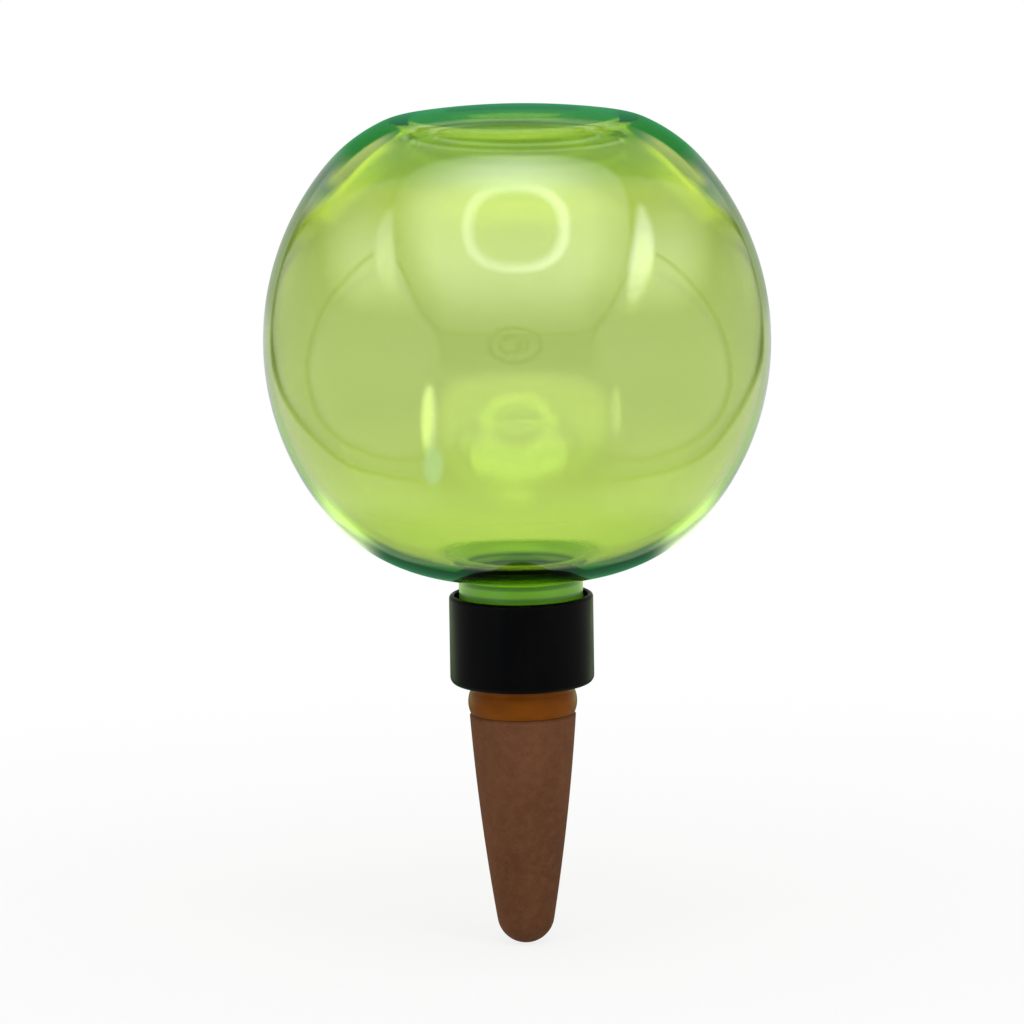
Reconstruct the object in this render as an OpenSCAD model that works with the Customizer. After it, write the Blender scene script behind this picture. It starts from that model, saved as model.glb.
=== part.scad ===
// Plant watering globe: a clear green globe stands neck down in a black screw cap,
// and the cap carries a hollow clay cone that is pushed into the soil of a pot.
// Upright, millimetres, +Z up, origin at the centre of the cap's lower face, which
// is the soil line. The globe unscrews from the cap with a right-hand thread.

/* [Globe] */
// Diameter of the globe at its equator
globe_w = 140; // [124:1:156]
// Height of the crown's corner above the equator
globe_up = 61.6; // [54:0.2:70]
// Depth below the equator at which the globe turns into the neck flare
globe_down = 65; // [56:1:74]
// Angle round the outline at which the side passes into the shoulder
side_angle = 39.5; // [34:0.5:45]
// Angle round the outline at which the shoulder reaches the crown's corner
crown_angle = 68; // [62:0.5:76]
// Angle round the outline at which the lower shoulder reaches the neck flare
flare_angle = 85.5; // [82:0.5:88]
// Wall of the globe at its equator
globe_wall = 2; // [1.4:0.1:3]
// Wall of the globe where it turns into the neck flare
bottom_wall = 3.4; // [2.2:0.1:4.4]

/* [Crown] */
// Diameter of the crown, the gently domed end of the globe
crown_w = 69.4; // [60:0.2:76]
// Rise of the crown's sphere above its corner
crown_rise = 3; // [2:0.1:5]
// Diameter of the flat in the middle, on which the globe stands to be filled
stand_w = 20; // [8:1:26]
// Wall of the crown
crown_wall = 3.4; // [2:0.1:4.4]
// Diameter of the heel ring, where the inner side of the crown begins
heel_w = 62; // [54:1:66]
// Depth of the heel ring below the crown's corner
heel_drop = 4.3; // [4:0.1:6]
// Width of the step from the heel ring up to the inner side of the crown
heel_step = 1.2; // [0.6:0.1:2]

/* [Neck] */
// Outside diameter of the neck below its thread
neck_w = 34.4; // [30:0.2:38]
// Wall of the neck
neck_wall = 2.2; // [1.6:0.1:3]
// Radius of the flare between neck and globe
flare_r = 2.3; // [1.5:0.1:4]
// Length of straight neck that shows above the cap
neck_show = 3.4; // [1.5:0.1:8]
// Bevel at the lower end of the neck
neck_bevel = 0.6; // [0.2:0.1:1]

/* [Thread] */
// Rise of the thread in one turn
thread_pitch = 4; // [3.4:0.1:5]
// Height of a ridge above its wall
thread_h = 1.15; // [0.8:0.05:1.4]
// Width of a ridge at its wall
thread_root_w = 2.1; // [1.8:0.1:2.3]
// Width of a ridge at its crest
thread_crest_w = 0.9; // [0.6:0.1:1.2]
// Radial clearance between a crest and the wall that it faces
thread_gap = 0.25; // [0.2:0.05:0.4]
// Clearance along the axis between the flanks that carry the load
flank_gap = 0.3; // [0.2:0.05:0.5]
// Distance from the end of the neck to the middle of its first ridge
thread_lead = 2; // [1.8:0.1:3]
// Distance from the cap's rim to the middle of its last ridge
rim_lead = 2.2; // [2:0.1:4]

/* [Screw cap] */
// Height of the cap
cap_h = 25; // [23:0.5:32]
// Wall of the cap round the neck
cap_wall = 1.4; // [1.1:0.1:3]
// Rounding of the rim
rim_round = 1; // [0.3:0.1:1]
// Bevel inside the rim that leads the neck in
rim_bevel = 0.3; // [0.1:0.1:0.6]
// Rounding of the lower edge
base_round = 2; // [0.5:0.1:3]
// Depth of the socket that holds the collar
socket_depth = 6; // [4:0.5:8]
// Thickness of the web between the neck and the cone
web_h = 2.4; // [1.6:0.1:3]
// Diameter of the water hole through the web
feed_w = 9; // [6:0.5:14]

/* [Seal ring] */
// Thickness of the seal ring
seal_h = 1.8; // [1.2:0.1:2.4]
// How far the seal ring reaches inside the bore of the neck
seal_lip = 1.2; // [0.5:0.1:3]
// Clearance of the seal ring inside the cap
seal_gap = 0.3; // [0.2:0.05:0.6]

/* [Collar] */
// Outside diameter of the collar
collar_w = 28.8; // [26:0.2:31]
// Height of the collar below the cap
collar_h = 8.5; // [6:0.5:12]
// Height of the bead round the collar
bead_h = 6.6; // [4:0.2:8]
// How far the bead stands out
bead_out = 0.75; // [0.3:0.05:1.5]
// Bevel at the lower edge of the collar
collar_bevel = 0.4; // [0.2:0.1:0.8]
// Wall of the collar
collar_wall = 2; // [1.4:0.1:3]
// Clearance of the collar in the cap and on the cone
collar_gap = 0.1; // [0.05:0.05:0.2]

/* [Clay cone] */
// Diameter of the cone at its shoulder, under the collar
cone_w = 29.6; // [26:0.2:32]
// Length of the cone below the cap
cone_reach = 73.8; // [60:0.2:100]
// Radius of the rounded tip
tip_r = 8; // [6.5:0.5:9]
// How much more the side slopes at the tip than a straight taper would
cone_bow = 2.6; // [1:0.1:5]
// Wall of the cone
clay_wall = 3.2; // [2.4:0.1:4]
// Wall of the spigot inside the collar
spigot_wall = 2.2; // [1.6:0.1:3]
// Bevel at the cone's shoulder
shoulder_bevel = 0.6; // [0.2:0.1:1]

/* [Hidden] */

// Facets of a preview circle, and of the long side arc of the cone
round_fn = 180;
long_arc_fn = 1440;
// Rings of a thread ridge in one turn
ridge_steps = 60;
// Angle over which a ridge rises out of its wall
ridge_run_out = 36;
// Depth to which the foot of a ridge is set into its wall
ridge_set_in = 0.45;

// Radii and heights of the stack, from the soil line up
globe_r = globe_w / 2;
crown_r = crown_w / 2;
crown_ball_r = (crown_r * crown_r + crown_rise * crown_rise) / (2 * crown_rise);
heel_r = heel_w / 2;
neck_r = neck_w / 2;
bore_r = neck_r - neck_wall;
chamber_r = neck_r + thread_h + thread_gap;
cap_r = chamber_r + cap_wall;
web_top = socket_depth + web_h;
neck_end_z = web_top + seal_h;
flare_z = cap_h + neck_show;
equator_z = flare_z + flare_r * sin(flare_angle) + globe_down;
crown_z = equator_z + globe_up;
ball_z = crown_z + crown_rise - crown_ball_r;
heel_z = crown_z - heel_drop;
stand_z = ball_z + sqrt(crown_ball_r * crown_ball_r - stand_w * stand_w / 4);
collar_r = collar_w / 2;
spigot_r = collar_r - collar_wall - collar_gap;
cone_r = cone_w / 2;
tip_z = tip_r - cone_reach;

// The outline of half a globe is two arcs that meet at side_angle. Both start and
// end directions are fixed, so the two radii follow from the width and the height.
function outline_det(turn, slope) =
    (1 - cos(turn)) * (sin(slope) - sin(turn)) - sin(turn) * (cos(turn) - cos(slope));
function side_radius(inset, rise, turn, slope) =
    (inset * (sin(slope) - sin(turn)) - rise * (cos(turn) - cos(slope)))
    / outline_det(turn, slope);
function shoulder_radius(inset, rise, turn, slope) =
    (rise * (1 - cos(turn)) - inset * sin(turn)) / outline_det(turn, slope);

// Half an outline, from the equator at height 0 up to end_r at height rise
module half_outline(equator_r, end_r, rise, slope) {
    inset = equator_r - end_r;
    r1 = side_radius(inset, rise, side_angle, slope);
    r2 = shoulder_radius(inset, rise, side_angle, slope);
    meet_x = equator_r - r1 + r1 * cos(side_angle);
    meet_y = r1 * sin(side_angle);
    union() {
        square([end_r, rise]);
        intersection() {
            translate([equator_r - r1, 0])
                circle(r = r1, $fn = round_fn);
            square([equator_r, meet_y]);
        }
        intersection() {
            translate([meet_x - r2 * cos(side_angle), meet_y - r2 * sin(side_angle)])
                circle(r = r2, $fn = round_fn);
            translate([0, meet_y])
                square([equator_r, rise - meet_y]);
        }
    }
}

// Neck and globe as one filled outline, up to end_r at the height end_z. The skin
// is set in by side_in at the equator, bottom_in at the flare and neck_in below it.
module vessel_outline(end_r, end_z, side_in, bottom_in, neck_in, low_z) {
    round_r = flare_r + bottom_in;
    round_x = neck_r - neck_in + round_r;
    join_x = round_x - round_r * cos(flare_angle);
    join_z = flare_z + round_r * sin(flare_angle);
    translate([0, equator_z]) {
        half_outline(globe_r - side_in, end_r, end_z - equator_z, crown_angle);
        mirror([0, 1])
            half_outline(globe_r - side_in, join_x, equator_z - join_z, flare_angle);
    }
    difference() {
        translate([0, flare_z])
            square([join_x, join_z - flare_z]);
        translate([round_x, flare_z])
            circle(r = round_r, $fn = round_fn);
    }
    translate([0, low_z])
        square([neck_r - neck_in, flare_z - low_z]);
}

// The crown as a part of a ball with a flat top
module crown_outline() {
    intersection() {
        translate([0, ball_z])
            circle(r = crown_ball_r, $fn = long_arc_fn);
        translate([0, equator_z])
            square([crown_r, stand_z - equator_z]);
    }
}

// The room under the crown, from the heel ring over its step to the inner ball
module crown_room_outline() {
    ball_r = crown_ball_r - crown_wall;
    step_r = heel_r - heel_step;
    step_z = ball_z + sqrt(ball_r * ball_r - step_r * step_r);
    polygon([[0, equator_z], [heel_r, equator_z], [heel_r, heel_z], [step_r, step_z], [0, step_z]]);
    intersection() {
        translate([0, ball_z])
            circle(r = ball_r, $fn = long_arc_fn);
        translate([0, equator_z])
            square([step_r, globe_up]);
    }
}

// A square corner with its tip at the origin, less the quarter round that stays
module corner_waste(r) {
    difference() {
        translate([-r, -r])
            square(r + 1);
        translate([-r, -r])
            circle(r = r, $fn = round_fn);
    }
}

// What a bevel of this leg takes off a square corner at the origin
module bevel_waste(leg) {
    rotate(45)
        square(leg * sqrt(2), center = true);
}

// One ridge of a thread as a closed band round the axis, wall_r is its wall and
// out is 1 for a ridge that stands outwards and -1 for one that stands inwards
module thread_ridge(wall_r, out, start_z, turns) {
    steps = ceil(turns * ridge_steps);
    full = turns * 360;
    flank = (thread_root_w - thread_crest_w) / 2 / thread_h;
    base_w = thread_root_w + 2 * flank * ridge_set_in;
    rings = [for (i = [0:steps])
        let (turn = full * i / steps,
             rise = min(1, turn / ridge_run_out, (full - turn) / ridge_run_out),
             stand = thread_h * rise - ridge_set_in * (1 - rise) / 2,
             top_w = thread_root_w - 2 * flank * stand,
             base_r = wall_r - out * ridge_set_in,
             top_r = wall_r + out * stand,
             z = start_z + thread_pitch * turn / 360)
        [for (p = [[base_r, -base_w], [top_r, -top_w], [top_r, top_w], [base_r, base_w]])
            [p[0] * cos(turn), p[0] * sin(turn), z + p[1] / 2]]];
    points = [for (ring = rings) each ring];
    band = [for (i = [0:steps - 1], k = [0:3])
        let (a = 4 * i + k, b = 4 * i + (k + 1) % 4)
        each [[a, b, b + 4], [a, b + 4, a + 4]]];
    last = 4 * steps;
    ends = [[2, 1, 0], [3, 2, 0], [last, last + 1, last + 2], [last, last + 2, last + 3]];
    wound = [for (face = concat(band, ends)) out > 0 ? face : [face[2], face[1], face[0]]];
    polyhedron(points = points, faces = wound);
}

// Middle of the first ridge of the neck, and how far above it the cap's ridge runs
ridge_z = neck_end_z + thread_lead;
ridge_flank = (thread_root_w - thread_crest_w) / 2 / thread_h;
ridge_offset = thread_root_w - ridge_flank * (thread_h + thread_gap) + flank_gap;
thread_turns = (cap_h - rim_lead - ridge_offset - ridge_z) / thread_pitch;

// Blown globe with its neck, thread and crown, in one piece
module globe() {
    color([0.62, 0.80, 0.30, 0.55])
        union() {
            rotate_extrude($fn = round_fn)
                difference() {
                    union() {
                        vessel_outline(crown_r, crown_z, 0, 0, 0, neck_end_z);
                        crown_outline();
                    }
                    vessel_outline(heel_r, heel_z, globe_wall, bottom_wall, neck_wall, neck_end_z - 1);
                    crown_room_outline();
                    translate([neck_r, neck_end_z])
                        bevel_waste(neck_bevel);
                }
            thread_ridge(neck_r, 1, ridge_z, thread_turns);
        }
}

// Moulded cap: chamber with the female thread, web with the water hole, and the
// socket of the collar underneath
module screw_cap() {
    color([0.05, 0.05, 0.06])
        union() {
            rotate_extrude($fn = round_fn)
                difference() {
                    square([cap_r, cap_h]);
                    translate([cap_r, cap_h])
                        corner_waste(rim_round);
                    translate([cap_r, 0])
                        mirror([0, 1])
                            corner_waste(base_round);
                    translate([0, web_top])
                        square([chamber_r, cap_h]);
                    translate([chamber_r, cap_h])
                        bevel_waste(rim_bevel);
                    translate([0, -1])
                        square([collar_r + collar_gap, socket_depth + 1]);
                    square([feed_w / 2, cap_h]);
                }
            thread_ridge(chamber_r, -1, ridge_z + ridge_offset, thread_turns);
        }
}

// Flat ring between the end of the neck and the web
module seal_ring() {
    color([0.22, 0.22, 0.23])
        rotate_extrude($fn = round_fn)
            translate([bore_r - seal_lip, web_top])
                square([chamber_r - seal_gap - bore_r + seal_lip, seal_h]);
}

// Amber sleeve on the cone's spigot, pushed into the cap's socket, with a bead
// outside below the cap
module cone_collar() {
    bead_arc = (bead_h * bead_h / 4 + bead_out * bead_out) / (2 * bead_out);
    color([0.70, 0.42, 0.10])
        rotate_extrude($fn = round_fn)
            difference() {
                union() {
                    translate([0, -collar_h])
                        square([collar_r, collar_h + socket_depth]);
                    intersection() {
                        translate([collar_r + bead_out - bead_arc, bead_h / 2 - collar_h])
                            circle(r = bead_arc, $fn = long_arc_fn);
                        translate([spigot_r, -collar_h])
                            square([collar_wall + bead_out + 1, bead_h]);
                    }
                }
                translate([0, -collar_h - 1])
                    square([spigot_r + collar_gap, collar_h + socket_depth + 2]);
                translate([collar_r, -collar_h])
                    bevel_waste(collar_bevel);
            }
}

// Outline of the cone's side and tip, set in by grow_in, from the tip to top_z.
// The side is one long arc that starts at the shoulder and runs into the tip.
module cone_outline(grow_in, top_z) {
    fall = -collar_h - tip_z;
    straight = acos(tip_r / norm([cone_r, fall])) - atan2(fall, cone_r);
    end_slope = straight + cone_bow;
    end_x = tip_r * cos(end_slope);
    end_z = tip_z - tip_r * sin(end_slope);
    chord = norm([cone_r - end_x, -collar_h - end_z]);
    mean_slope = atan2(cone_r - end_x, -collar_h - end_z);
    side_r = chord / (2 * sin(end_slope - mean_slope));
    join_z = tip_z - (tip_r - grow_in) * sin(end_slope);
    intersection() {
        translate([end_x - side_r * cos(end_slope), end_z + side_r * sin(end_slope)])
            circle(r = side_r - grow_in, $fn = long_arc_fn);
        translate([0, join_z])
            square([cone_r + 1, top_z - join_z]);
    }
    intersection() {
        translate([0, tip_z])
            circle(r = tip_r - grow_in, $fn = round_fn);
        translate([0, tip_z - tip_r])
            square([tip_r, join_z - tip_z + tip_r]);
    }
}

// Hollow fired-clay cone with a spigot inside the collar
module clay_cone() {
    hollow_r = spigot_r - spigot_wall;
    color([0.45, 0.27, 0.17])
        rotate_extrude($fn = round_fn)
            difference() {
                union() {
                    difference() {
                        cone_outline(0, -collar_h);
                        translate([cone_r, -collar_h])
                            bevel_waste(shoulder_bevel);
                    }
                    translate([0, -collar_h])
                        square([spigot_r, collar_h + socket_depth]);
                }
                intersection() {
                    cone_outline(clay_wall, -collar_h);
                    translate([0, -cone_reach])
                        square([hollow_r, cone_reach]);
                }
                translate([0, -collar_h])
                    square([hollow_r, collar_h + socket_depth + 1]);
            }
}

globe();
screw_cap();
seal_ring();
cone_collar();
clay_cone();
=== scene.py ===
import math

import bpy
import numpy as np
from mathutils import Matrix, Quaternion, Vector


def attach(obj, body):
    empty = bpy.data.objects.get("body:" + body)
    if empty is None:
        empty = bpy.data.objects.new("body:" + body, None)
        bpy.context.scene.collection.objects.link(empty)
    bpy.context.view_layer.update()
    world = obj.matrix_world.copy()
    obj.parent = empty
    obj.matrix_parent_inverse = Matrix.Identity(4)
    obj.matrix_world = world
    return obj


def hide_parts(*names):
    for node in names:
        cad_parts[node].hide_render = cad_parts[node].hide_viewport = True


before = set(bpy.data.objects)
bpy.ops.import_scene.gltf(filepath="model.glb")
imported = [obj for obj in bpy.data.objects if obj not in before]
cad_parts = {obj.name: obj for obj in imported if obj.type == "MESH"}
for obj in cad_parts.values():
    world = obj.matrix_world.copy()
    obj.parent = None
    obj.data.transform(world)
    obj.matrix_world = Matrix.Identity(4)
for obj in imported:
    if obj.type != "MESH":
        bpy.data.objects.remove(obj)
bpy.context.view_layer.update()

bpy.context.scene.view_settings.view_transform = "Standard"

MM = 0.001
PICTURE = 1024  # side of the square picture, in pixels

# Sizes of the globe in millimetres, as in part.scad
GLOBE_R, GLOBE_UP, GLOBE_DOWN, GLOBE_WALL = 70.0, 61.6, 65.0, 2.0
SIDE_ANGLE, CROWN_ANGLE, FLARE_ANGLE = 39.5, 68.0, 85.5
CROWN_R, CROWN_RISE, STAND_R, CROWN_WALL = 34.7, 3.0, 10.0, 3.4
HEEL_R, HEEL_DROP, HEEL_STEP, BOTTOM_WALL = 31.0, 4.3, 1.2, 3.4
NECK_R, NECK_WALL, NECK_BEVEL, NECK_END_Z = 17.2, 2.2, 0.6, 10.2
FLARE_R, FLARE_Z = 2.3, 28.4
THREAD_PITCH, THREAD_H, THREAD_ROOT, THREAD_CREST = 4.0, 1.15, 2.1, 0.9
THREAD_Z, CAP_H, RIM_LEAD, THREAD_GAP, FLANK_GAP = 12.2, 25.0, 2.2, 0.25, 0.3
RUN_OUT, SET_IN = 36.0, 0.45
CONE_REACH = 73.8


def sin(degrees):
    return math.sin(math.radians(degrees))


def cos(degrees):
    return math.cos(math.radians(degrees))


EQUATOR_Z = FLARE_Z + FLARE_R * sin(FLARE_ANGLE) + GLOBE_DOWN
CROWN_Z, HEEL_Z = EQUATOR_Z + GLOBE_UP, EQUATOR_Z + GLOBE_UP - HEEL_DROP
BALL_R = (CROWN_R ** 2 + CROWN_RISE ** 2) / (2 * CROWN_RISE)
BALL_Z = CROWN_Z + CROWN_RISE - BALL_R
STAND_Z = BALL_Z + math.sqrt(BALL_R ** 2 - STAND_R ** 2)
EQUATOR = Vector((0, 0, EQUATOR_Z * MM))


# Outline of the globe

def half_outline(equator_r, end_r, rise, slope):
    """Side and shoulder arc of half the globe, as centre x, centre height and radius, and where they meet."""
    inset = equator_r - end_r
    turned = cos(SIDE_ANGLE) - cos(slope)
    climbed = sin(slope) - sin(SIDE_ANGLE)
    det = (1 - cos(SIDE_ANGLE)) * climbed - sin(SIDE_ANGLE) * turned
    side_r = (inset * climbed - rise * turned) / det
    shoulder_r = (rise * (1 - cos(SIDE_ANGLE)) - inset * sin(SIDE_ANGLE)) / det
    meet_x = equator_r - side_r + side_r * cos(SIDE_ANGLE)
    meet_h = side_r * sin(SIDE_ANGLE)
    side = (equator_r - side_r, 0.0, side_r)
    shoulder = (meet_x - shoulder_r * cos(SIDE_ANGLE), meet_h - shoulder_r * sin(SIDE_ANGLE), shoulder_r)
    return side, shoulder, meet_h


def skin_arcs(side_r, end_r, rise, bottom_in, neck_in):
    """Arcs above and below the equator, and the flare's centre and radius, of one skin of the globe."""
    round_r = FLARE_R + bottom_in
    round_x = NECK_R - neck_in + round_r
    join_x = round_x - round_r * cos(FLARE_ANGLE)
    join_z = FLARE_Z + round_r * sin(FLARE_ANGLE)
    upper = half_outline(side_r, end_r, rise, CROWN_ANGLE)
    lower = half_outline(side_r, join_x, EQUATOR_Z - join_z, FLARE_ANGLE)
    return upper, lower, (round_x, round_r)


def arc(centre_x, centre_z, radius, start, end, step):
    count = max(2, math.ceil(abs(end - start) / step))
    angles = [start + (end - start) * i / count for i in range(count + 1)]
    return [(centre_x + radius * cos(a), centre_z + radius * sin(a)) for a in angles]


ROW_STEP, FLARE_STEP, THREAD_ROW = 1.5, 8.0, 0.18


def globe_side(arcs):
    """From the edge of the crown down the side to the lower end of the flare."""
    (side, shoulder, _), (low_side, low_shoulder, _), (round_x, round_r) = arcs
    path = arc(shoulder[0], EQUATOR_Z + shoulder[1], shoulder[2], CROWN_ANGLE, SIDE_ANGLE, ROW_STEP)
    path += arc(side[0], EQUATOR_Z, side[2], SIDE_ANGLE, 0, ROW_STEP)[1:]
    path += arc(low_side[0], EQUATOR_Z, low_side[2], 0, -SIDE_ANGLE, ROW_STEP)[1:]
    low_z = EQUATOR_Z - low_shoulder[1]
    path += arc(low_shoulder[0], low_z, low_shoulder[2], -SIDE_ANGLE, -FLARE_ANGLE, ROW_STEP)[1:]
    path += arc(round_x, FLARE_Z, round_r, 180 - FLARE_ANGLE, 180, FLARE_STEP)[1:]
    return path


def softened(path, corner, reach, steps=8):
    """The path with the corner point replaced by a smooth turn that starts and ends this far from it."""
    at = min(range(len(path)), key=lambda i: math.dist(path[i], corner))

    def walk(way):
        left, i = reach, at
        while 0 <= i + way < len(path):
            span = math.dist(path[i], path[i + way])
            if span > left:
                share = left / span
                return i + way, tuple(a + (b - a) * share for a, b in zip(path[i], path[i + way]))
            left, i = left - span, i + way
        return i, path[i]

    (first, start), (last, end) = walk(-1), walk(1)
    turn = []
    for i in range(steps + 1):
        t = i / steps
        turn.append(tuple(
            a * (1 - t) ** 2 + 2 * c * t * (1 - t) + b * t * t for a, c, b in zip(start, path[at], end)
        ))
    return path[: first + 1] + turn + path[last:]


def spread(start, end, step):
    """Points on a straight line after its start, about a step apart."""
    count = max(1, math.ceil(math.dist(start, end) / step))
    return [tuple(a + (b - a) * i / count for a, b in zip(start, end)) for i in range(1, count + 1)]


OUTER = skin_arcs(GLOBE_R, CROWN_R, GLOBE_UP, 0, 0)
INNER = skin_arcs(GLOBE_R - GLOBE_WALL, HEEL_R, GLOBE_UP - HEEL_DROP, BOTTOM_WALL, NECK_WALL)


def ball_arc(ball_r, start_r, end_r):
    """Over the crown's outer or inner ball from one radius round the axis out to another."""
    start, end = (math.degrees(math.asin(r / ball_r)) for r in (start_r, end_r))
    return arc(0, BALL_Z, ball_r, 90 - start, 90 - end, 0.5)


def globe_profile():
    """The wall's outline from the crown's outer middle round the neck's end to its inner middle."""
    path = [(0, STAND_Z)] + spread((0, STAND_Z), (STAND_R, STAND_Z), 1)
    path += ball_arc(BALL_R, STAND_R, CROWN_R)[1:]
    path += globe_side(OUTER)[1:]
    path += spread((NECK_R, FLARE_Z), (NECK_R, CAP_H), 1)
    path += spread((NECK_R, CAP_H), (NECK_R, NECK_END_Z + NECK_BEVEL), THREAD_ROW)
    path += [(NECK_R - NECK_BEVEL, NECK_END_Z), (NECK_R - NECK_WALL, NECK_END_Z)]
    inside = ball_arc(BALL_R - CROWN_WALL, 0, HEEL_R - HEEL_STEP)
    ledge = inside[-1]
    inside += spread(ledge, (HEEL_R, HEEL_Z), 0.4)
    inside += globe_side(INNER)[1:]
    inside += spread(inside[-1], (NECK_R - NECK_WALL, NECK_END_Z + 0.6), 2)
    path += inside[::-1]
    for corner, reach in (
        ((STAND_R, STAND_Z), 9.0),
        ((CROWN_R, CROWN_Z), 2.0),
        ((NECK_R, NECK_END_Z + NECK_BEVEL), 0.15),
        ((NECK_R - NECK_BEVEL, NECK_END_Z), 0.2),
        ((NECK_R - NECK_WALL, NECK_END_Z), 0.3),
        ((HEEL_R, HEEL_Z), 1.6),
        (ledge, 1.6),
    ):
        path = softened(path, corner, reach)
    return path


def ridge_height(turn, z):
    """How far the thread stands out of the neck at this angle and height."""
    flank = (THREAD_ROOT - THREAD_CREST) / 2 / THREAD_H
    offset = THREAD_ROOT - flank * (THREAD_H + THREAD_GAP) + FLANK_GAP
    full = 360 * (CAP_H - RIM_LEAD - offset - THREAD_Z) / THREAD_PITCH
    best = 0.0
    while turn <= full:
        rise = min(1, turn / RUN_OUT, (full - turn) / RUN_OUT)
        stand = THREAD_H * rise - SET_IN * (1 - rise) / 2
        away = abs(z - THREAD_Z - THREAD_PITCH * turn / 360)
        best = max(best, min(stand, (THREAD_ROOT / 2 - away) / flank))
        turn += 360
    return best


SEGMENTS = 192


def lathe(name, profile, swell=None):
    """A closed solid of revolution about Z from a profile that starts and ends on the axis."""
    verts, faces, rows = [], [], []
    for x, z in profile:
        if x < 1e-6:
            rows.append([len(verts)] * SEGMENTS)
            verts.append((0, 0, z * MM))
            continue
        rows.append(list(range(len(verts), len(verts) + SEGMENTS)))
        for i in range(SEGMENTS):
            turn = 360 * i / SEGMENTS
            r = (x + (swell(turn, x, z) if swell else 0)) * MM
            verts.append((r * cos(turn), r * sin(turn), z * MM))
    for low, high in zip(rows, rows[1:]):
        for i in range(SEGMENTS):
            j = (i + 1) % SEGMENTS
            ring = [low[i], high[i], high[j], low[j]]
            faces.append(tuple(dict.fromkeys(ring)))
    mesh = bpy.data.meshes.new(name)
    mesh.from_pydata(verts, [], faces)
    mesh.shade_smooth()
    piece = bpy.data.objects.new(name, mesh)
    bpy.context.scene.collection.objects.link(piece)
    return piece


def thread_swell(turn, x, z):
    on_neck = abs(x - NECK_R) < 1e-6 and z < CAP_H
    return ridge_height(turn, z) if on_neck else 0


globe = lathe("globe_clear", globe_profile(), thread_swell)
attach(globe, "vessel")
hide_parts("globe")


# Camera

CAMERA_FAR, CAMERA_UP = 2.0, 8.03  # distance from the middle of the globe, and elevation
AIM = Vector((-0.00215, 0, 0.0479))
ROLL, SENSOR, LENS = 0.9, 36.0, 255.1

camera = bpy.data.objects.new("camera", bpy.data.cameras.new("camera"))
bpy.context.scene.collection.objects.link(camera)
bpy.context.scene.camera = camera
camera.data.sensor_width, camera.data.lens = SENSOR, LENS
camera.data.clip_start, camera.data.clip_end = 0.05, 30
camera.location = EQUATOR + CAMERA_FAR * Vector((0, -cos(CAMERA_UP), sin(CAMERA_UP)))
camera.rotation_mode = "QUATERNION"
facing = (AIM - camera.location).to_track_quat("-Z", "Y")
camera.rotation_quaternion = facing @ Quaternion((0, 0, 1), math.radians(-ROLL))


# Helpers for node materials

NOISE_ROUGHNESS = 0.55


def new_material(name):
    mat = bpy.data.materials.new(name)
    mat.use_nodes = True
    mat.node_tree.nodes.clear()
    return mat


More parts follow.
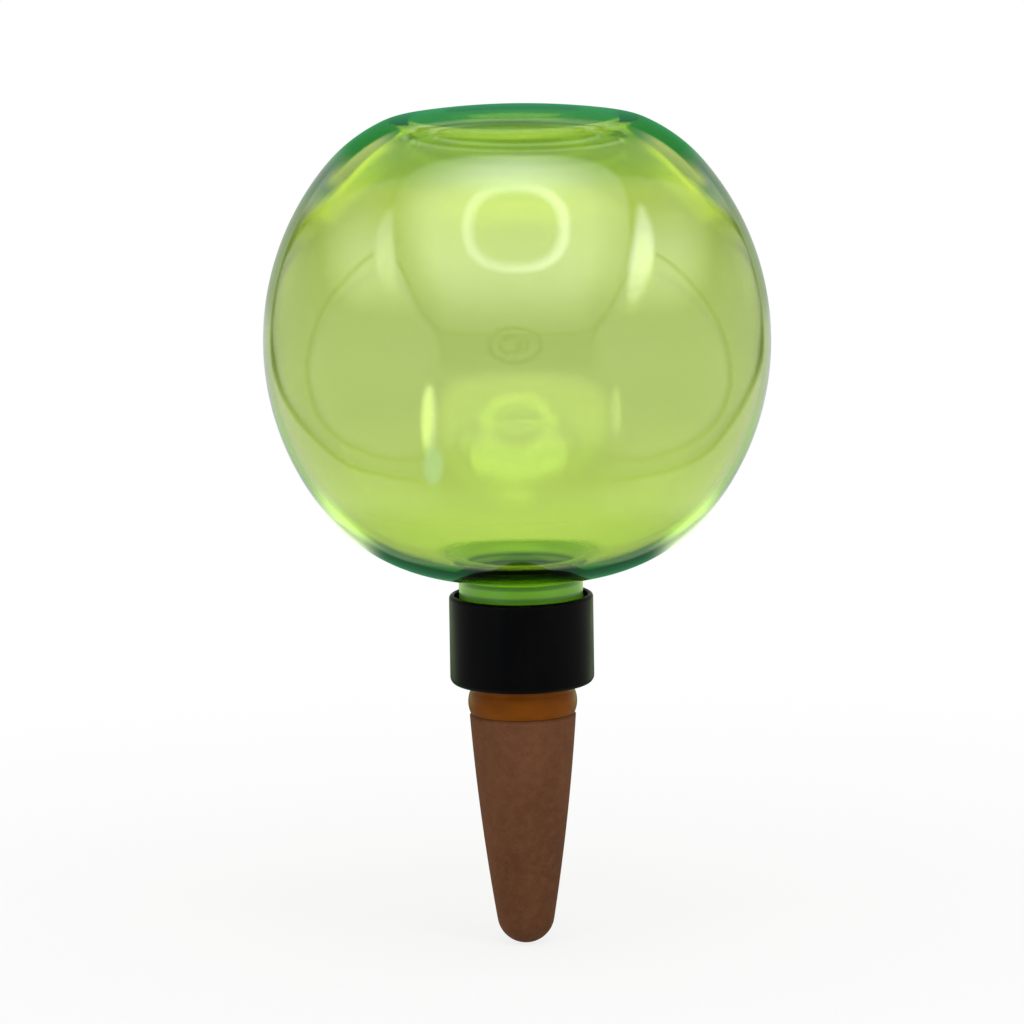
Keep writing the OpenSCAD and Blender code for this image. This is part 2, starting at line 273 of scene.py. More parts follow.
class Nodes:
    """Short calls to add nodes to one tree."""

    def __init__(self, tree):
        self.tree = tree

    def add(self, kind, **values):
        node = self.tree.nodes.new(kind)
        for key, value in values.items():
            setattr(node, key, value)
        return node

    def put(self, socket, value):
        if isinstance(value, bpy.types.NodeSocket):
            self.tree.links.new(value, socket)
        elif isinstance(value, (tuple, list)) and len(value) == 3 and socket.type == "RGBA":
            socket.default_value = (*value, 1)
        else:
            socket.default_value = value

    def math(self, operation, *values, clamp=False):
        node = self.add("ShaderNodeMath", operation=operation, use_clamp=clamp)
        for socket, value in zip(node.inputs, values):
            self.put(socket, value)
        return node.outputs[0]

    def mix(self, share, first, second):
        node = self.add("ShaderNodeMix", data_type="RGBA")
        for name, value in (("Factor_Float", share), ("A_Color", first), ("B_Color", second)):
            self.put(next(s for s in node.inputs if s.identifier == name), value)
        return next(s for s in node.outputs if s.identifier == "Result_Color")

    def span(self, value, low, high, to_low=0.0, to_high=1.0, smooth=True):
        node = self.add("ShaderNodeMapRange", interpolation_type="SMOOTHSTEP" if smooth else "LINEAR")
        for name, v in (("Value", value), ("From Min", low), ("From Max", high),
                        ("To Min", to_low), ("To Max", to_high)):
            self.put(node.inputs[name], v)
        return node.outputs[0]

    def place(self, scale=(1, 1, 1)):
        """The piece's own coordinates in metres, stretched by scale."""
        where = self.add("ShaderNodeTexCoord").outputs["Object"]
        node = self.add("ShaderNodeMapping")
        self.put(node.inputs["Vector"], where)
        node.inputs["Scale"].default_value = scale
        return node.outputs[0]

    def noise(self, scale, detail, where=None):
        node = self.add("ShaderNodeTexNoise")
        self.put(node.inputs["Vector"], where or self.place())
        for name, v in (("Scale", scale), ("Detail", detail), ("Roughness", NOISE_ROUGHNESS)):
            self.put(node.inputs[name], v)
        return node.outputs[0]

    def cells(self, scale):
        node = self.add("ShaderNodeTexVoronoi")
        self.put(node.inputs["Vector"], self.place())
        self.put(node.inputs["Scale"], scale)
        return node.outputs["Distance"]

    def height(self):
        """Height over the soil line in metres."""
        node = self.add("ShaderNodeSeparateXYZ")
        self.put(node.inputs[0], self.place())
        return node.outputs["Z"]

    def from_axis(self):
        """Distance from the upright axis in metres."""
        node = self.add("ShaderNodeVectorMath", operation="LENGTH")
        self.put(node.inputs[0], self.place((1, 1, 0)))
        return node.outputs["Value"]

    def attribute(self, name):
        return self.add("ShaderNodeAttribute", attribute_name=name).outputs["Color"]

    def bump(self, value, distance, strength=1.0):
        node = self.add("ShaderNodeBump")
        self.put(node.inputs["Height"], value)
        node.inputs["Distance"].default_value = distance
        node.inputs["Strength"].default_value = strength
        return node.outputs[0]

    def principled(self, **values):
        node = self.add("ShaderNodeBsdfPrincipled")
        for name, value in values.items():
            self.put(node.inputs[name.replace("_", " ")], value)
        return node.outputs[0]

    def blend(self, share, first, second):
        node = self.add("ShaderNodeMixShader")
        for socket, value in zip(node.inputs, (share, first, second)):
            self.put(socket, value)
        return node.outputs[0]

    def output(self, surface, volume=None):
        node = self.add("ShaderNodeOutputMaterial")
        self.put(node.inputs["Surface"], surface)
        if volume is not None:
            self.put(node.inputs["Volume"], volume)


# Materials of the object

# Tints of the globe by height, lighter at the top and low and bluer at the crown as painted reflection; tints
# and milkiness of its neck, whose deep green is a painted glow with painted highlight and shade bands and a
# lighter painted mouth; and what its wall absorbs
CLEAR_MIDDLE, TOP_PAINTED_REFLECTION, LOW_PAINTED_REFLECTION = (0.735, 0.79, 0.70), (0.92, 0.93, 0.82), (0.85, 0.935, 0.80)
CROWN_PAINTED_REFLECTION = (0.70, 0.80, 0.86)
MOUTH_PAINTED_LIGHT, NECK_PAINTED_SHADE, NECK_PAINTED_GLOW = (0.66, 0.97, 0.03), (0.09, 0.30, 0.006), (0.24, 0.58, 0.008)
NECK_ROUGH, NECK_MILK, NECK_BAND_PERIOD, NECK_BAND_Z = 0.3, 0.55, 0.0034, 0.0291
ABSORB_COLOUR, ABSORB_DENSITY = (0.80, 0.895, 0.01), 333.0


def clear_green():
    mat = new_material("clear_green")
    n = Nodes(mat.node_tree)
    cloud = n.noise(14, 2)
    over_equator = n.math("SUBTRACT", n.height(), EQUATOR_Z * MM)
    patches = n.math("MULTIPLY_ADD", cloud, 0.2, -0.1)
    # Painted reflection: the tint turns lighter above and below the equator and bluer at the crown, where the
    # globe shows brighter reflections
    top = n.math("ADD", n.span(over_equator, 0.026, 0.058), patches, clamp=True)
    low = n.math("ADD", n.span(over_equator, -0.023, -0.052), patches, clamp=True)
    tint = n.mix(low, n.mix(top, CLEAR_MIDDLE, TOP_PAINTED_REFLECTION), LOW_PAINTED_REFLECTION)
    tint = n.mix(n.span(over_equator, 0.044, 0.055), tint, CROWN_PAINTED_REFLECTION)
    near_axis = n.span(n.from_axis(), 0.026, 0.0185)
    neck = n.math("MULTIPLY", near_axis, n.span(over_equator, -0.045, -0.055))
    # Painted highlight and painted shade: light and dark bands round the neck above the cap, over a deep green
    # that is a painted glow
    over_band = n.math("SUBTRACT", n.height(), NECK_BAND_Z)
    rings = n.math("COSINE", n.math("MULTIPLY", over_band, 2 * math.pi / NECK_BAND_PERIOD))
    rings = n.math("MULTIPLY", n.span(rings, -0.2, 1.0), n.span(n.height(), 0.0235, 0.0255))
    neck_glow_and_shade = n.mix(rings, NECK_PAINTED_GLOW, NECK_PAINTED_SHADE)
    # Painted light: the neck's deep green is a painted glow, and the lighter tint at its inner mouth brightens
    # it
    tint = n.mix(neck, tint, n.mix(n.span(n.height(), 0.0295, 0.031), neck_glow_and_shade, MOUTH_PAINTED_LIGHT))
    smear = n.noise(60, 4, where=n.place((1, 1, 0.35)))
    rough = n.math("MULTIPLY_ADD", neck, NECK_ROUGH, n.span(smear, 0.4, 0.8, 0.0, 0.02))
    wave = n.noise(22, 1, where=n.place((1, 1, 1.6)))
    glass = n.principled(
        Base_Color=tint, Roughness=rough, IOR=1.5,
        Transmission_Weight=n.math("MULTIPLY_ADD", neck, -NECK_MILK, 1.0),
        Normal=n.bump(wave, 0.0001, 0.25),
    )
    clear = n.add("ShaderNodeBsdfTransparent")
    n.put(clear.inputs["Color"], n.mix(0.5, tint, (1.0, 1.0, 1.0)))
    lamp = n.add("ShaderNodeLightPath").outputs["Is Shadow Ray"]
    inside = n.add("ShaderNodeVolumeAbsorption")
    inside.inputs["Color"].default_value = (*ABSORB_COLOUR, 1)
    inside.inputs["Density"].default_value = ABSORB_DENSITY
    n.output(n.blend(lamp, glass, clear.outputs[0]), inside.outputs[0])
    return mat


def black_plastic():
    mat = new_material("black_satin")
    n = Nodes(mat.node_tree)
    grain = n.noise(2600, 3)
    cloud = n.noise(90, 3, where=n.place((1, 1, 0.4)))
    colour = n.mix(cloud, (0.0012, 0.0012, 0.0014), (0.003, 0.003, 0.0034))
    rough = n.span(cloud, 0.3, 0.7, 0.3, 0.4)
    n.output(n.principled(
        Base_Color=colour, Roughness=rough, Specular_IOR_Level=0.03, Normal=n.bump(grain, 0.00006, 0.5),
    ))
    return mat


def seal_rubber():
    mat = new_material("seal_rubber_matt")
    n = Nodes(mat.node_tree)
    cloud = n.noise(300, 4)
    colour = n.mix(cloud, (0.05, 0.05, 0.054), (0.11, 0.11, 0.112))
    n.output(n.principled(
        Base_Color=colour, Roughness=n.span(cloud, 0.3, 0.7, 0.6, 0.8), Normal=n.bump(cloud, 0.0002, 0.4),
    ))
    return mat


def amber_rubber():
    mat = new_material("amber_translucent")
    n = Nodes(mat.node_tree)
    cloud = n.noise(120, 4, where=n.place((1, 1, 2.2)))
    colour = n.mix(cloud, (0.12, 0.030, 0.001), (0.22, 0.066, 0.003))
    n.output(n.principled(
        Base_Color=colour, Roughness=n.span(cloud, 0.3, 0.7, 0.3, 0.42), Specular_IOR_Level=0.06,
        Subsurface_Weight=0.2, Subsurface_Scale=0.003,
        Normal=n.bump(n.noise(500, 3), 0.00015, 0.4),
    ))
    return mat


def fired_clay():
    mat = new_material("fired_clay_pores")
    n = Nodes(mat.node_tree)
    broad = n.noise(38, 4, where=n.place((1, 1, 0.5)))
    fine = n.noise(420, 5)
    speck = n.noise(1400, 2)
    colour = n.mix(n.span(broad, 0.3, 0.7), (0.092, 0.034, 0.014), (0.142, 0.056, 0.024))
    colour = n.mix(n.span(fine, 0.35, 0.75, 0, 0.3), colour, (0.19, 0.088, 0.045))
    colour = n.mix(n.span(speck, 0.62, 0.75, 0, 0.6), colour, (0.05, 0.018, 0.008))
    pores = n.span(n.cells(900), 0.05, 0.35)
    relief = n.math("ADD", n.math("MULTIPLY", fine, 0.7), n.math("MULTIPLY", pores, 0.3))
    n.output(n.principled(
        Base_Color=colour, Roughness=n.span(fine, 0.3, 0.7, 0.72, 0.92), Specular_IOR_Level=0.12,
        Normal=n.bump(relief, 0.0004, 0.6),
    ))
    return mat


def dress(node, mat):
    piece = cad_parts[node]
    for s in piece.material_slots:
        s.material = mat


globe.data.materials.append(clear_green())
dress("screw_cap", black_plastic())
dress("seal_ring", seal_rubber())
dress("cone_collar", amber_rubber())
dress("clay_cone", fired_clay())


# Floor, world and lamps

WHITE_BACK, SOFT_LEVEL = 1.0, 0.55


def seen_rays(n):
    """1 for the camera, glossy and transmission rays that see the white surround, 0 for rays that light."""
    path = n.add("ShaderNodeLightPath").outputs
    share = n.math("MAXIMUM", path["Is Camera Ray"], path["Is Glossy Ray"])
    return n.math("MAXIMUM", share, path["Is Transmission Ray"])


def white_world():
    world = bpy.data.worlds.new("soft_white")
    bpy.context.scene.world = world
    world.use_nodes = True
    world.node_tree.nodes.clear()
    n = Nodes(world.node_tree)
    back = n.add("ShaderNodeBackground")
    back.inputs["Color"].default_value = (1, 1, 1, 1)
    n.put(back.inputs["Strength"], n.span(seen_rays(n), 0, 1, SOFT_LEVEL, WHITE_BACK, smooth=False))
    out = n.add("ShaderNodeOutputWorld")
    n.put(out.inputs["Surface"], back.outputs[0])


FLOOR_Z, FLOOR_R = -CONE_REACH * MM - 0.0001, 2.6
LAMP_AIM = Vector((0, 0, 0.05))


def floor():
    mesh = bpy.data.meshes.new("floor")
    ring = [(FLOOR_R * cos(a), FLOOR_R * sin(a), FLOOR_Z) for a in range(0, 360, 5)]
    mesh.from_pydata(ring, [], [tuple(range(len(ring)))])
    piece = bpy.data.objects.new("floor", mesh)
    bpy.context.scene.collection.objects.link(piece)
    mat = new_material("floor_white")
    n = Nodes(mat.node_tree)
    cloud = n.noise(3, 2)
    paper = n.add("ShaderNodeBsdfDiffuse")
    n.put(paper.inputs["Color"], n.mix(cloud, (0.88, 0.88, 0.88), (0.92, 0.92, 0.92)))
    glow = n.add("ShaderNodeEmission")
    glow.inputs["Strength"].default_value = WHITE_BACK
    far = n.add("ShaderNodeVectorMath", operation="LENGTH")
    n.put(far.inputs[0], n.place())
    share = n.math("MULTIPLY", seen_rays(n), n.span(far.outputs["Value"], 0.02, 0.45, 0.8, 1.0))
    n.output(n.blend(share, paper.outputs[0], glow.outputs[0]))
    mesh.materials.append(mat)


def lamp(name, direction, far, size, level):
    """A soft square lamp that faces the object from this direction and lights it to this level."""
    data = bpy.data.lights.new(name, "AREA")
    data.shape, data.size = "SQUARE", size
    data.energy = level * math.pi ** 2 * far ** 2
    piece = bpy.data.objects.new(name, data)
    bpy.context.scene.collection.objects.link(piece)
    away = Vector(direction).normalized()
    piece.location = LAMP_AIM + away * far
    piece.rotation_mode = "QUATERNION"
    piece.rotation_quaternion = (-away).to_track_quat("-Z", "Y")
    piece.visible_glossy = piece.visible_transmission = piece.visible_camera = False


white_world()
floor()
lamp("lamp_top", (0.1, -0.5, 1.0), 1.6, 1.2, 0.3)
lamp("lamp_right", (1.0, -0.9, 0.35), 1.6, 0.9, 0.28)
lamp("lamp_left", (-1.0, -0.9, 0.25), 1.6, 0.9, 0.2)


# Reflection cards, which only a mirrored ray sees

def outer_skin(point):
    """Distance from the globe's outer skin, in metres, and the direction straight out of it."""
    r, h = math.hypot(point.x, point.y) / MM, point.z / MM - EQUATOR_Z
    side, shoulder, meet_h = OUTER[0] if h >= 0 else OUTER[1]
    centre_x, centre_h, radius = side if abs(h) < meet_h else shoulder
    out_x, out_h = max(0.0, r - centre_x), abs(h) - centre_h
    length = math.hypot(out_x, out_h)
    ball_h = point.z / MM - BALL_Z
    ball_length = math.hypot(r, ball_h)
    if h > 0 and ball_length - BALL_R > length - radius:
        out_x, out_h, length, radius = r, ball_h, ball_length, BALL_R
    flat = out_x / length / max(r, 1e-9) / MM
    away = Vector((point.x * flat, point.y * flat, math.copysign(out_h / length, h)))
    return (length - radius) * MM, away


def sight_line(x, y):
    """Start and direction of the sight line through this pixel, just before the globe."""
    half = SENSOR / 2 / LENS
    middle = PICTURE / 2
    line = Vector(((x - middle) / middle * half, (middle - y) / middle * half, -1))
    line = (camera.rotation_quaternion @ line).normalized()
    return camera.location + line * (CAMERA_FAR - 2 * GLOBE_R * MM), line


MARCH_STEPS, CLEAR_STEPS, RIM_STEPS = 80, 30, 14  # most steps to find the skin, a near miss and the outline
RIM_LEAST, RIM_MOST = 200.0, 270.0  # pixels from the middle between which the outline lies


def on_ball(point, line, far):
    """Where a line from this point ends, this far from the middle of the globe."""
    start = point - EQUATOR
    along = start.dot(line)
    reach = math.sqrt(along * along - start.length_squared + far * far) - along
    return point + line * reach


def mirrored(x, y, far):
    """Where the sight line through this pixel ends, this far from the globe, once the outer skin mirrors it."""
    point, line = sight_line(x, y)
    for _ in range(MARCH_STEPS):
        gap, away = outer_skin(point)
        point = point + line * gap
        if gap < 1e-8:
            break
    return on_ball(point, line - 2 * line.dot(away) * away, far)


def mirrored_behind(x, y, far):
    """The same for a sight line that goes through the front wall and is mirrored inside the back wall."""
    point, line = sight_line(x, y)
    point = point + line * 2 * GLOBE_R * MM
    for _ in range(MARCH_STEPS):
        gap, away = outer_skin(point)
        gap += GLOBE_WALL * MM
        point = point - line * gap
        if abs(gap) < 1e-8:
            break
    return on_ball(point, line - 2 * line.dot(away) * away, far)


def clears(x, y):
    """Whether the sight line through this pixel passes the globe by."""
    point, line = sight_line(x, y)
    low, high = 0.0, 4 * GLOBE_R * MM
    for _ in range(CLEAR_STEPS):
        third = (high - low) / 3
        first, second = (outer_skin(point + line * at)[0] for at in (low + third, high - third))
        if min(first, second) <= 0:
            return False
        if first < second:
            high -= third
        else:
            low += third
    return True


def rim_reach(turn_x, turn_y):
    """How many pixels the globe's outline lies from its middle in this direction."""
    low, high = RIM_LEAST, RIM_MOST
    for _ in range(RIM_STEPS):
        reach = (low + high) / 2
        if clears(MIDDLE_X + turn_x * reach, MIDDLE_Y + turn_y * reach):
            high = reach
        else:
            low = reach
    return low


ANY_SKIN, THREE_SKINS = 0.5, 3.5  # bounds between numbers of skins that a ray has passed


def card_material(name, behind):
    """Glows in the mesh's own tones, for mirrored rays only: those that passed both walls of the globe or
    not, of which the ones that the outer skin mirrors see tone and the ones that went into the wall see
    tone_inner."""
    mat = new_material(name)
    mat.cycles.emission_sampling = "NONE"
    n = Nodes(mat.node_tree)
    path = n.add("ShaderNodeLightPath").outputs
    passed = path["Transmission Depth"]
    colour = n.attribute("tone")
    if not behind:
        colour = n.mix(n.math("GREATER_THAN", passed, ANY_SKIN), colour, n.attribute("tone_inner"))
    glow = n.add("ShaderNodeEmission")
    n.put(glow.inputs["Color"], colour)
    walls = n.math("GREATER_THAN" if behind else "LESS_THAN", passed, THREE_SKINS)
    mirrored_ray = n.math("MULTIPLY", n.math("GREATER_THAN", path["Glossy Depth"], 0.5), walls)
    clear = n.add("ShaderNodeBsdfTransparent")
    n.output(n.blend(mirrored_ray, clear.outputs[0], glow.outputs[0]))
    return mat


MIDDLE_X, MIDDLE_Y = 517, 341  # middle of the globe in the picture
DOME_FAR, DOME_RINGS, DOME_SPOKES, DOME_CLOSE = 0.166, 190, 300, 0.35
BEHIND_FAR, BEHIND_RINGS, BEHIND_SPOKES, BEHIND_REACH = 0.170, 110, 200, 0.93
FIRST_RING, RING_SPAN, RING_CROWDING = 0.002, 0.996, 1.5  # first and rest of the way out, and crowding there

# Outlines in the picture of what the globe mirrors, clockwise from the top, and the level of each
ROOM = [
    (516, 172), (631, 177), (676, 184), (710, 204), (742, 235), (755, 270), (763, 311), (760, 362), (744, 402),
    (720, 438), (700, 457), (665, 471), (600, 482), (516, 487), (430, 482), (381, 474), (343, 462), (302, 424),
    (280, 388), (271, 345), (272, 308), (281, 265), (300, 230), (330, 204), (360, 190), (399, 178),
]
PANEL = [
    (516, 155), (560, 156), (596, 162), (617, 177), (628, 200), (630, 222), (627, 248), (620, 277), (609, 304),
    (596, 322), (576, 331), (516, 333), (456, 332), (437, 326), (423, 310), (412, 290), (402, 263), (395, 237),
    (392, 211), (397, 192), (410, 174), (432, 162), (470, 156),
]
STRIP_LEFT = [(392, 208), (380, 225), (375, 250), (379, 275), (390, 293), (397, 292), (396, 270), (393, 240)]
STRIP_RIGHT = [(640, 205), (650, 222), (654, 245), (650, 270), (638, 298), (629, 300), (629, 270), (634, 240)]
WALL_LEFT = [
    (375, 256), (350, 277), (330, 301), (316, 332), (309, 363), (312, 391), (323, 419), (352, 444),
    (400, 458), (440, 440), (440, 345), (415, 300), (395, 262),
]
WALL_RIGHT = [
    (655, 256), (686, 280), (710, 311), (724, 343), (729, 377), (724, 401), (712, 423), (680, 446),
    (632, 458), (592, 440), (592, 345), (617, 300), (638, 262),
]
LEVELS = {
    "shoulder": 0.9, "rim": 0.3, "foot": 1.0, "foot_low": 0.5, "room": 0.9, "room_top": 3.7, "wall": 1.2,
    "front": 0.6, "low_high": 1.1, "low": 0.3, "panel_top": 2.2, "panel": 5.0, "panel_low": 2.3,
    "panel_glow": 5.0, "core": 4.1, "stroke": 9.0, "strip_left": 5.2, "strip_right": 8.5, "lens": 0.0,
}

# Ellipses of what it mirrors, as middle x, middle y, half width and half height
GLOW, RING, PATCH = (516, 172, 110, 34), (516, 228, 55, 46), (433, 466, 11, 22)
RING_SQUARE = 2.4  # 2 makes the ring an ellipse, and more makes it squarer
LENSES = ((515, 345, 26, 17), (510, 345, 10, 7), (523, 344, 5, 5))
EDGES = (((429, 421, 8, 36), 2.0), ((616, 413, 6, 24), 0.8))  # with the level that each adds
CROWN_EDGES = ((516, 135.5, 111, 16), (516, 134, 84, 11))

# Colours of the bands along the outline and of a few places
RIM_SIDE, RIM_HIGH, RIM_LOW = (0.72, 0.76, 0.76), (0.50, 0.56, 0.50), (0.66, 0.82, 0.62)
RIM_TOP, RIM_BOTTOM, RIM_FOOT = (0.075, 0.40, 0.17), (0.08, 0.34, 0.15), (1.4, 1.8, 1.0)
SHOULDER_TONE, CROWN_TONE, PATCH_TONE = (2.3, 2.3, 0.9), (0.3, 0.6, 0.28), (1.2, 1.8, 2.6)

# The same for what the inside of its back wall mirrors
LOW_PANEL = [
    (517, 372), (560, 374), (590, 380), (606, 396), (611, 420), (607, 440), (596, 462), (575, 482), (545, 497),
    (505, 504), (470, 494), (450, 476), (440, 450), (437, 420), (441, 396), (455, 380), (480, 374),
]
LOW_BOWL = [
    (463, 438), (488, 435), (517, 447), (548, 435), (572, 438), (575, 455), (563, 472), (540, 483),
    (515, 487), (491, 483), (470, 472), (460, 455),
]
LOW_RING = (518, 436, 35, 33)
LOW_STRIPS = {"left": (429, 421, 7, 36), "right": (616, 413, 5, 24), "streak": (516, 501, 20, 6)}
LOW_LEVELS = {
    "high": 0.6, "room": 1.0, "panel": 4.9, "bowl": 8.0, "ring": 9.6, "left": 11.0, "right": 4.5, "streak": 4.5,
}


def smooth_loop(points, per_span=5):
    """A closed smooth curve through given points."""
    count, loop = len(points), []
    for i in range(count):
        a, b, c, d = (points[(i + k) % count] for k in (-1, 0, 1, 2))
        for s in range(per_span):
            t = s / per_span
            loop.append(tuple(
                0.5 * (2 * q + (r - p) * t + (2 * p - 5 * q + 4 * r - w) * t * t
                       + (3 * q - p - 3 * r + w) * t ** 3)
                for p, q, r, w in zip(a, b, c, d)
            ))
    return loop


def edge_gap(points, x, y):
    """How many pixels these places lie inside the smooth loop through these points, less than 0 outside."""
    a = np.array(smooth_loop(points))
    b = np.roll(a, -1, 0)
    nearest = np.full(x.shape, 1e9)
    crossings = np.zeros(x.shape, int)
    for (ax, ay), (bx, by) in zip(a, b):
        dx, dy = bx - ax, by - ay
        t = np.clip(((x - ax) * dx + (y - ay) * dy) / (dx * dx + dy * dy + 1e-9), 0, 1)
        nearest = np.minimum(nearest, np.hypot(x - ax - t * dx, y - ay - t * dy))
        if dy:
            crossings += ((ay > y) != (by > y)) & (x < ax + (y - ay) * dx / dy)
    return np.where(crossings % 2 == 1, nearest, -nearest)


def ramp(value, low, high, start=0.0, end=1.0):
    t = np.clip((value - low) / (high - low), 0, 1)
    return start + (end - start) * t * t * (3 - 2 * t)


def ellipse_share(ellipse, x, y):
    """How far these places lie from the middle of an ellipse, where its edge is 1."""
    middle_x, middle_y, wide, tall = ellipse
    return np.hypot((x - middle_x) / wide, (y - middle_y) / tall)


def ellipse_gap(ellipse, x, y):
    """About how many pixels these places lie outside an ellipse, less than 0 inside."""
    middle_x, middle_y, wide, tall = ellipse
    size = ellipse_share(ellipse, x, y) + 1e-6
    slope = np.hypot((x - middle_x) / wide ** 2, (y - middle_y) / tall ** 2)
    return (size - 1) * size / (slope + 1e-6)


def dome_levels(x, y, ringed):
    """How bright the room is where the globe's front mirrors it at these places, with or without the ring."""
    at = LEVELS
    aside = np.abs(x - MIDDLE_X)
    level = ramp(y, 200, 225, at["shoulder"], at["rim"]) + ramp(y, 335, 385, 0, at["foot"] - at["rim"])
    level += ramp(y, 500, 530, 0, at["foot_low"] - at["foot"])
    room = ramp(aside, 214, 148, 0.3, at["room_top"]) * ramp(y, 350, 255) * ramp(y, 195, 255, 0.45, 1)
    room = np.maximum(room, ramp(aside, 252, 225, 0.5, at["room"]) * ramp(y, 215, 260, 0.5, 1))
    room_gap = edge_gap(ROOM, x, y)
    level += (room - level) * ramp(room_gap, -2.5, 2.5)
    for wall in (WALL_LEFT, WALL_RIGHT):
        wall_gap = edge_gap(wall, x, y)
        level = np.maximum(level, at["wall"] * ramp(wall_gap, -2, 2))
        level *= 1 - 0.5 * ramp(np.abs(wall_gap + 2), 3, 1)
    level *= 1 - 0.85 * ramp(np.abs(room_gap), 3.5, 1) * ramp(y, 190, 240)
    front = ramp(aside, 100, 60) * ramp(y, 326, 336)
    level += (at["front"] - level) * front
    low = ramp(y, 430, 460, at["low_high"], at["low"])
    level += (low - level) * ramp(aside, 130, 60) * ramp(y, 360, 380) * ramp(y, 500, 480)
    panel_gap = edge_gap(PANEL, x, y)
    panel = ramp(y, 150, 180, at["panel_top"], at["panel"])
    panel += ramp(y, 250, 318, 0, at["panel_low"] - at["panel"])
    side = ramp(x, 590, 620, 0.3, 0.55)
    panel *= side + (1 - side) * ramp(panel_gap, -10, 42)
    panel += at["panel_glow"] * ramp(ellipse_share(GLOW, x, y), 1, 0)
    level += (panel - level) * ramp(panel_gap, -2.5, 2.5)
    level *= 1 - 0.4 * ramp(np.abs(panel_gap + 2), 3.5, 1) * ramp(y, 180, 220)
    if ringed:
        ring_x, ring_y, wide, tall = RING
        across, down = np.abs((x - ring_x) / wide), np.abs((y - ring_y) / tall)
        size = (across ** RING_SQUARE + down ** RING_SQUARE) ** (1 / RING_SQUARE)
        stroke = at["stroke"] * ramp(x, 480, 560, 0.95, 1.12) * ramp(y, 245, 285, 1, 0.82)
        ring = ramp(size, 0.68, 0.9, at["core"], stroke) + ramp(size, 0.91, 1.04, 0, panel - stroke)
        level += (ring - level) * ramp(size, 1.2, 1.08)
    for strip, tone in ((STRIP_LEFT, "strip_left"), (STRIP_RIGHT, "strip_right")):
        tone = at[tone] * ramp(y, 303, 255, 0.5, 1) * ramp(y, 210, 240, 0.7, 1)
        level += (tone - level) * ramp(edge_gap(strip, x, y), -3.5, 3.5)
    for lens in LENSES:
        level += (at["lens"] - level) * ramp(np.abs(ellipse_gap(lens, x, y)), 3, 1)
    for edge, extra in EDGES:
        level += extra * ramp(ellipse_gap(edge, x, y), 2, -3)
    return level


def dome_tones(x, y, to_rim, ringed=True):
    """Colours of the room, with the dark flags that the globe mirrors along its upper and lower outline."""
    tones = dome_levels(x, y, ringed)[:, None] * np.ones(3)
    turn = np.abs(np.degrees(np.arctan2(x - MIDDLE_X, np.abs(y - MIDDLE_Y))))
    high = y < MIDDLE_Y
    flag = np.where(high, ramp(turn, 51, 40), ramp(turn, 39, 30))
    upper = (1 - flag) * ramp(y, 330, 290)
    shoulder = high * ramp(turn, 30, 37) * ramp(turn, 52, 48) * ramp(to_rim, 34, 26) * ramp(to_rim, 8, 15)
    foot_wide = ramp(turn, 12, 32, 13, 7)
    for tone, share in (
        (CROWN_TONE, ramp(y, 152, 130) * ramp(np.abs(x - MIDDLE_X), 150, 110)),
        (PATCH_TONE, ramp(ellipse_share(PATCH, x, y), 1.1, 0.6)),
        (SHOULDER_TONE, shoulder),
        (RIM_SIDE, (1 - flag) * ramp(to_rim, 8.5, 6)),
        (RIM_HIGH, upper * ramp(to_rim, 8.5, 6)),
        (RIM_LOW, (1 - flag) * ramp(y, 380, 440) * ramp(to_rim, 8.5, 6)),
        (RIM_TOP, flag * high * ramp(to_rim, 16, 13)),
        (RIM_FOOT, (1 - flag) * ramp(y, 485, 530) * ramp(to_rim, 14, 9)),
        (RIM_BOTTOM, flag * ~high * ramp(to_rim, foot_wide + 3, foot_wide)),
    ):
        tones += (np.array(tone) - tones) * share[:, None]
    for edge in CROWN_EDGES:
        gap = ellipse_gap(edge, x, y)
        tones += (ramp(y, 120, 145, 0.1, 0.9) * ramp(np.abs(gap), 2.4, 0.6))[:, None]
        tones *= (1 - 0.6 * ramp(np.abs(gap + 3.5), 2.6, 0.6))[:, None]
    return tones


def inner_tones(x, y, to_rim):
    """The same for what the wall's inner skin mirrors, a little lower, where the ring would show twice."""
    return dome_tones(x, y, to_rim, ringed=False)


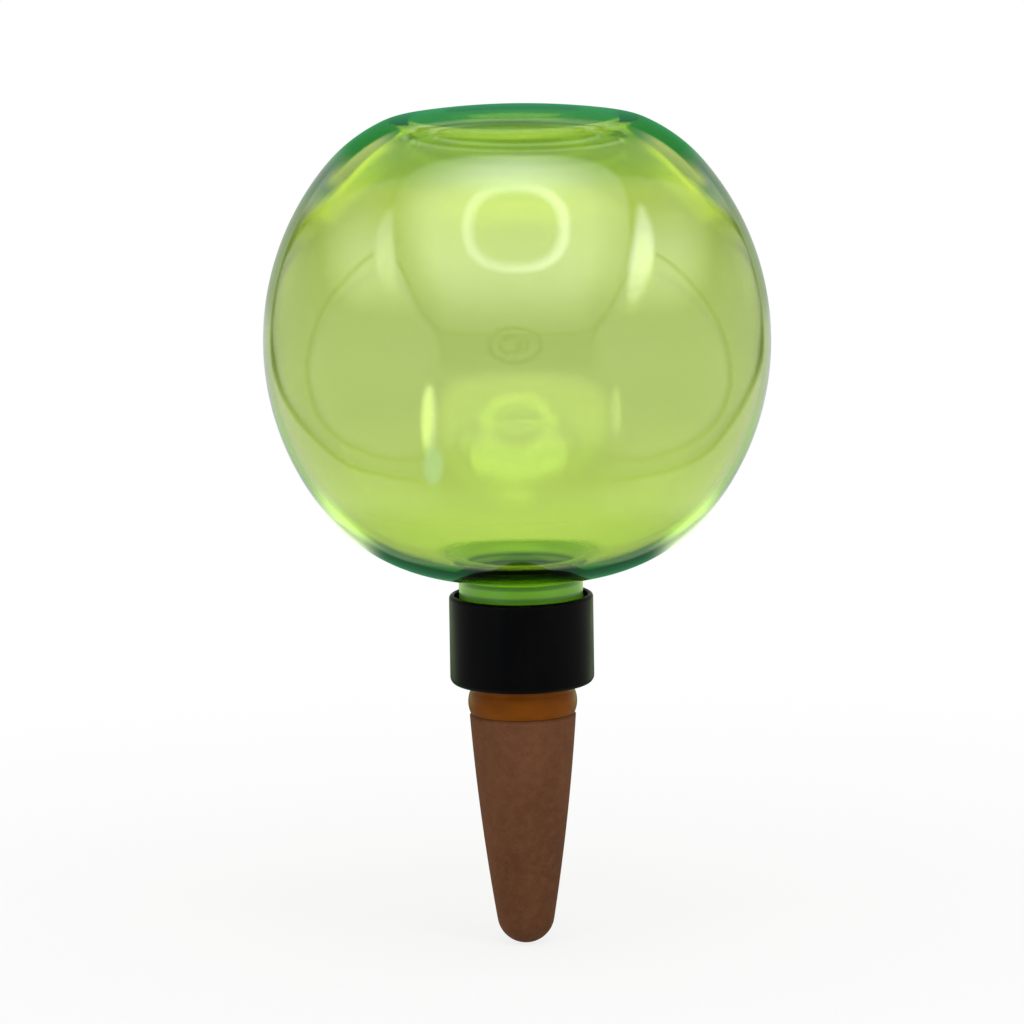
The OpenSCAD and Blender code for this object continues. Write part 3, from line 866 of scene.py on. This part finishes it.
def behind_tones(x, y, to_rim):
    """Colours of the room where the inside of the back wall mirrors it, upside down, at these places."""
    at = LOW_LEVELS
    level = ramp(y, 330, 372, at["high"], at["room"])
    panel_gap = edge_gap(LOW_PANEL, x, y)
    panel = at["panel"] * ramp(y, 362, 382, 0.5, 1) * ramp(y, 425, 470, 1, 0.75)
    level += (panel - level) * ramp(panel_gap, -4, 14)
    ring = ellipse_share(LOW_RING, x, y)
    stroke = ramp(np.abs(ring - 1), 0.24, 0.08) * ramp(y, 452, 430, 0.35, 1)
    level += (at["ring"] - level) * stroke
    bowl_gap = edge_gap(LOW_BOWL, x, y)
    level += (at["bowl"] - level) * ramp(bowl_gap, -1, 6)
    level *= 1 - 0.6 * ramp(np.abs(bowl_gap + 3), 3, 1)
    for tone, strip in LOW_STRIPS.items():
        level += (at[tone] - level) * ramp(ellipse_share(strip, x, y), 1.15, 0.6)
    return level[:, None] * np.ones(3)


def dome(name, rings, spokes, full, far, mirror, paints, behind):
    """The room that the globe mirrors, as a dome whose tones are set by where they show in the picture."""
    turns = np.arange(spokes) * 2 * math.pi / spokes
    turn_x, turn_y = np.cos(turns), np.sin(turns)
    rims = np.array([rim_reach(*turn) for turn in zip(turn_x, turn_y)])
    way_out = FIRST_RING + RING_SPAN * np.arange(rings + 1) / rings
    to_rim = 1 - full * (1 - (1 - way_out) ** RING_CROWDING)
    reach = np.outer(1 - to_rim, rims)
    x, y = (MIDDLE_X + reach * turn_x).ravel(), (MIDDLE_Y + reach * turn_y).ravel()
    verts = [mirror(*place, far) for place in zip(x, y)]
    from_edge = np.outer(to_rim, rims).ravel()
    edge = verts[-spokes:]
    middle = sum(edge, Vector()) / spokes
    verts += [place.lerp(middle, DOME_CLOSE) for place in edge]
    faces = []
    for k in range(rings + 1):
        for i in range(spokes):
            j = (i + 1) % spokes
            faces.append(tuple(a * spokes + b for a, b in ((k, i), (k, j), (k + 1, j), (k + 1, i))))
    mesh = bpy.data.meshes.new(name)
    mesh.from_pydata(verts, [], faces)
    for key, paint in paints.items():
        tones = paint(x, y, from_edge)
        tones = np.concatenate([tones, tones[-spokes:]])
        tones = np.concatenate([tones, np.ones((len(tones), 1))], 1)
        mesh.attributes.new(key, "FLOAT_COLOR", "POINT").data.foreach_set("color", tones.ravel())
    mesh.materials.append(card_material(name + "_tones", behind))
    piece = bpy.data.objects.new(name, mesh)
    bpy.context.scene.collection.objects.link(piece)
    piece.visible_camera = piece.visible_diffuse = piece.visible_shadow = False
    piece.visible_volume_scatter = False


front_paints, behind_paints = {"tone": dome_tones, "tone_inner": inner_tones}, {"tone": behind_tones}
dome("dome_front", DOME_RINGS, DOME_SPOKES, 1.0, DOME_FAR, mirrored, front_paints, False)
dome("dome_behind", BEHIND_RINGS, BEHIND_SPOKES, BEHIND_REACH, BEHIND_FAR, mirrored_behind, behind_paints, True)
